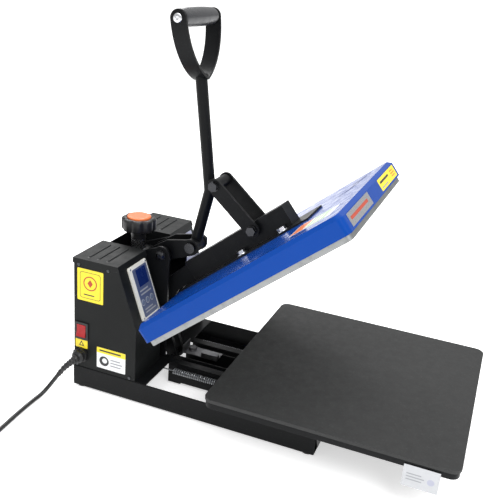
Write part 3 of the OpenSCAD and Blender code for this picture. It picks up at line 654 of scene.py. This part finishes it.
def screw(name, matrix, r, body, finish="zinc"):
    """Pan-head screw whose cross recess is painted shade: a dark cross laid on the head."""
    shape = bmesh.new()
    head = [(0, 0), (r, 0), (r, 0.35 * r), (0.86 * r, 0.6 * r), (0.5 * r, 0.74 * r), (0, 0.78 * r)]
    merge(shape, lathe(head, 28), 0)
    half_slot, reach, top = 0.13 * r, 0.52 * r, 0.7 * r
    arm = [(-half_slot, -reach), (half_slot, -reach), (half_slot, -half_slot)]
    cross = []
    for _ in range(4):
        cross += arm
        arm = [(-y, x) for x, y in arm]
    # The dark cross is painted shade standing in for a recess.
    merge(shape, slab(cross, top, top + 0.12 * r), 1)
    add(name, shape, [MATERIAL[finish], INK["dark"]], body, matrix=matrix)


def weld(name, points, r, body):
    """A weld bead: a run of overlapping scales along the points."""
    way = spline(points, 14)
    radii = [(r * (0.82 + 0.18 * abs(sin(i * 1.1)))) * MM for i in range(len(way))]
    add(name, tube(way, radii, 10), [MATERIAL["black_paint"]], body, sharp=70)


def sticker(name, body, matrix, layers):
    """A printed label: stacked films, each (outline, bottom, top, ink)."""
    shape = bmesh.new()
    inks = []
    for outline, z0, z1, ink in layers:
        if ink not in inks:
            inks.append(ink)
        merge(shape, slab(outline, z0, z1), inks.index(ink))
    add(name, shape, [INK[ink] for ink in inks], body, matrix=matrix)


def bars(x0, x1, y0, y1, rows, ink, top=0.3, ragged=0.25):
    """Rows of plain bars in place of print."""
    layers = []
    step = (y1 - y0) / rows
    for k in range(rows):
        end = x1 - (x1 - x0) * ragged * abs(sin(2.3 * k + 1))
        y = y1 - (k + 0.5) * step
        bar = rect(x0, end, y - step * 0.2, y + step * 0.2, min(step * 0.15, 0.6), 2)
        layers.append((bar, 0.1, top, ink))
    return layers


def label_side_panel():
    sticker("label_side_large", "base", on_left(289, 192), [
        (rect(-24, 24, -28, 28, 2), 0, 0.22, "yellow"), (rect(-19, 19, -23, 23, 4), 0.1, 0.27, "dark"),
        (rect(-18.2, 18.2, -22.2, 22.2, 3.4), 0.2, 0.3, "yellow"), (circle(0, 4, 12.6), 0.25, 0.33, "red"),
        (circle(0, 4, 10.6), 0.3, 0.36, "yellow"), ([(0, -3), (5, 4), (0, 11), (-5, 4)], 0.33, 0.39, "red"),
        *bars(-12, 13, -19, -14, 1, "dark", 0.36)])
    sticker("label_side_rating", "base", on_left(249, 67), [
        (rect(-27, 27, -19, 19), 0, 0.22, "white"), (rect(-27, 27, 9, 19), 0.1, 0.28, "yellow"),
        *bars(-22, 22, 10.5, 17.5, 1, "dark", 0.34, 0.1), (circle(-13, -5, 9), 0.1, 0.28, "dark"),
        (circle(-12, -4, 4.6), 0.2, 0.32, "white"), *bars(-1, 22, -13, 3, 3, "grey", 0.28)])
    sticker("label_side_small", "base", on_left(305.5, 84.5), [
        (rect(-11.5, 11.5, -8.5, 8.5), 0, 0.22, "yellow"),
        ([(-5, -4.5), (5, -4.5), (0, 5)], 0.1, 0.3, "dark"),
        ([(-2.6, -3), (2.6, -3), (0, 2.2)], 0.2, 0.34, "yellow")])


def label_platen():
    sticker("label_platen_tag", "drawer", on_left(-270.5, 0, PLATEN_SIDE_X), [
        (rect(-25, 25, 42, 77, 0.8), 0, 0.25, "pearl"), *bars(-20, 6, 52, 66, 3, "grey", 0.3),
        (circle(14, 58, 5), 0.1, 0.3, "lavender")])


def label_towers():
    sticker("controller_face", "base", on_slant(-82, 51), [
        (rect(-20, 25, -42.5, 39.5, 2.5), 3.02, 3.3, "face_blue"),
        (rect(-11, 19, 7.5, 36.5, 1), 3.2, 3.4, "navy"),
        *bars(-14, 20, -8, 4, 2, "grey", 3.36, 0.3), *bars(-14, 20, -38, -28, 2, "grey", 3.36, 0.3),
        *[(circle(x, -18, 5.6), 3.2, 3.38, "grey") for x in (-14, 0, 14)]])
    sticker("tower_plate_right", "base", on_slant(84, 66), [
        (rect(-40, 40, -26, 26, 3), 0, 0.25, "lavender"), *bars(-32, 30, -18, 16, 4, "white", 0.3)])


def label_case_front():
    front = OPEN @ Matrix.Translation(at(0, -212.15, 109)) @ Matrix.Rotation(pi / 2, 4, "X")
    sticker("label_case_silver", "upper_platen", front, [
        (rect(-155, -32, -9.3, 10), 0, 0.2, "silver"), *bars(-146, -40, -5, 7, 1, "red", 0.26, 0.1)])
    sticker("label_case_yellow", "upper_platen", front, [
        (rect(38, 157, -9.3, 10), 0, 0.2, "yellow"), *bars(46, 112, -1, 7.5, 1, "dark", 0.26, 0.1),
        *bars(46, 100, -7.5, -3, 1, "grey", 0.26), *bars(122, 150, -6, 7, 3, "orange", 0.26)])


def label_case_top():
    top = OPEN @ Matrix.Translation(at(0, 0, 126.42))
    sticker("label_case_top", "upper_platen", top, [
        (rect(-130, -70, -182, -112), 0, 0.2, "white"), (rect(-128, -72, -136, -114), 0.1, 0.26, "orange"),
        (rect(-128, -72, -172, -139), 0.1, 0.26, "green"), *bars(-122, -80, -166, -145, 3, "white", 0.3)])
    wave = [(34 + 4.6 * k, -148 - k + 3.4 * sin(0.55 * k)) for k in range(25)]
    strokes = []
    for lift, depth in ((0, 3.2), (-9, 1.4)):
        upper = [(x, y + lift) for x, y in wave]
        lower = [(x, y - depth * sin(pi * i / 24) - 0.4) for i, (x, y) in enumerate(upper)]
        strokes.append((upper + lower[::-1], 0, 0.18, "navy"))
    sticker("case_wave", "upper_platen", top, strokes)
    sticker("arm_sticker", "upper_platen", OPEN @ Matrix.Translation(at(0, 104, 164.42)), [
        (rect(-13, 13, -18, 18), 0, 0.2, "silver"), *bars(-9, 9, -14, 12, 4, "dark", 0.26)])


def make_louver_hole_shade():
    """Painted shade: dark discs in place of the holes at the left ends of the ribs on both tower covers."""
    spots = [(circle(x, y, 2.3, 16), 236.25, 236.4, "dark") for x in (-122.2, 56.2) for y in (264, 281, 298)]
    sticker("louver_ends", "base", Matrix.Identity(4), spots)


def make_screws():
    bezel_thickness = Matrix.Translation(at(0, 0, 3))
    for s in (9, 93):
        for x in (-106, -58):
            screw("bezel_screw_%d_%d" % (-x, s), on_slant(x, s) @ bezel_thickness, 1.9, "base")
    for i, (y, z) in enumerate(((256, 226), (310, 226), (214, 44), (314, 44))):
        screw("side_screw_%d" % i, on_left(y, z), 2.6, "base", "dark_steel")


def make_strap_weld():
    """A bead round the handle tube's top, rising where the strap's two sides stand."""
    tube_top = Matrix.Translation(at(0, 175.25, 524.0)) @ Matrix.Rotation(-0.1487, 4, "X")
    ring = []
    for k in range(17):
        a = 2 * pi * k / 16
        ring.append(tube_top @ at(9.6 * cos(a), 9.6 * sin(a), 0.5 + 3.4 * abs(cos(a))))
    weld("weld_strap", ring, 1.7, BODY["grip_strap"])


# ---------- room ----------

FLOOR_HALF = 60
FLOOR_Z = -0.0004
SKY_AS_SEEN = 1.3
LAMPS = (("key", (-1.6, -1.5, 2.3), 1.4, 42), ("rim", (1.5, 1.3, 1.9), 1.0, 24),
         ("top", (0.2, -0.2, 2.8), 1.8, 30))


def make_floor():
    """Wide, pale paper that glows a little."""
    shape = bmesh.new()
    corners = ((-FLOOR_HALF, -FLOOR_HALF), (FLOOR_HALF, -FLOOR_HALF), (FLOOR_HALF, FLOOR_HALF),
               (-FLOOR_HALF, FLOOR_HALF))
    shape.faces.new([shape.verts.new((x, y, FLOOR_Z)) for x, y in corners])
    mesh = bpy.data.meshes.new("floor")
    shape.to_mesh(mesh)
    shape.free()
    s = Shader("floor_paper")
    s.set(Base_Color=s.mix(s.noise(0.6, 2), (0.90, 0.90, 0.90), (0.93, 0.93, 0.93)), Roughness=0.95,
          Specular_IOR_Level=0.05, Emission_Color=(1.0, 1.0, 1.0), Emission_Strength=0.55)
    mesh.materials.append(s.material)
    floor = bpy.data.objects.new("floor", mesh)
    bpy.context.scene.collection.objects.link(floor)


def make_sky():
    """Soft light that grows with height. The camera itself sees plain white."""
    world = bpy.data.worlds.new("soft_sky")
    bpy.context.scene.world = world
    world.use_nodes = True
    nodes, links = world.node_tree.nodes, world.node_tree.links
    nodes.clear()
    out = nodes.new("ShaderNodeOutputWorld")
    sky = nodes.new("ShaderNodeBackground")
    coord = nodes.new("ShaderNodeTexCoord")
    split = nodes.new("ShaderNodeSeparateXYZ")
    ramp = nodes.new("ShaderNodeMapRange")
    for key, number in (("From Min", -0.05), ("From Max", 0.8), ("To Min", 0.35), ("To Max", 1.05)):
        ramp.inputs[key].default_value = number
    sky.inputs["Color"].default_value = (1, 1, 1, 1)
    links.new(coord.outputs["Generated"], split.inputs["Vector"])
    links.new(split.outputs["Z"], ramp.inputs["Value"])
    seen = nodes.new("ShaderNodeLightPath")
    pick = nodes.new("ShaderNodeMix")
    factor, light, view = pick.inputs[0], pick.inputs[2], pick.inputs[3]
    view.default_value = SKY_AS_SEEN
    links.new(seen.outputs["Is Camera Ray"], factor)
    links.new(ramp.outputs["Result"], light)
    links.new(pick.outputs[0], sky.inputs["Strength"])
    links.new(sky.outputs["Background"], out.inputs["Surface"])


def make_lamps():
    """Three square softboxes, aimed at the middle of the machine."""
    middle = at(0, 0, 200)
    for name, place, size, power in LAMPS:
        light = bpy.data.lights.new(name, "AREA")
        light.shape, light.size, light.energy = "SQUARE", size, power
        lamp = bpy.data.objects.new(name, light)
        lamp.location = place
        lamp.rotation_euler = (middle - lamp.location).to_track_quat("-Z", "Y").to_euler()
        bpy.context.scene.collection.objects.link(lamp)


make_camera()
make_cord()
dress_all()
make_springs()
make_knob()
make_grip()
label_side_panel()
label_platen()
label_towers()
label_case_front()
label_case_top()
make_louver_hole_shade()
make_screws()
make_strap_weld()
make_floor()
make_sky()
make_lamps()
bpy.context.scene.view_settings.view_transform = "Standard"
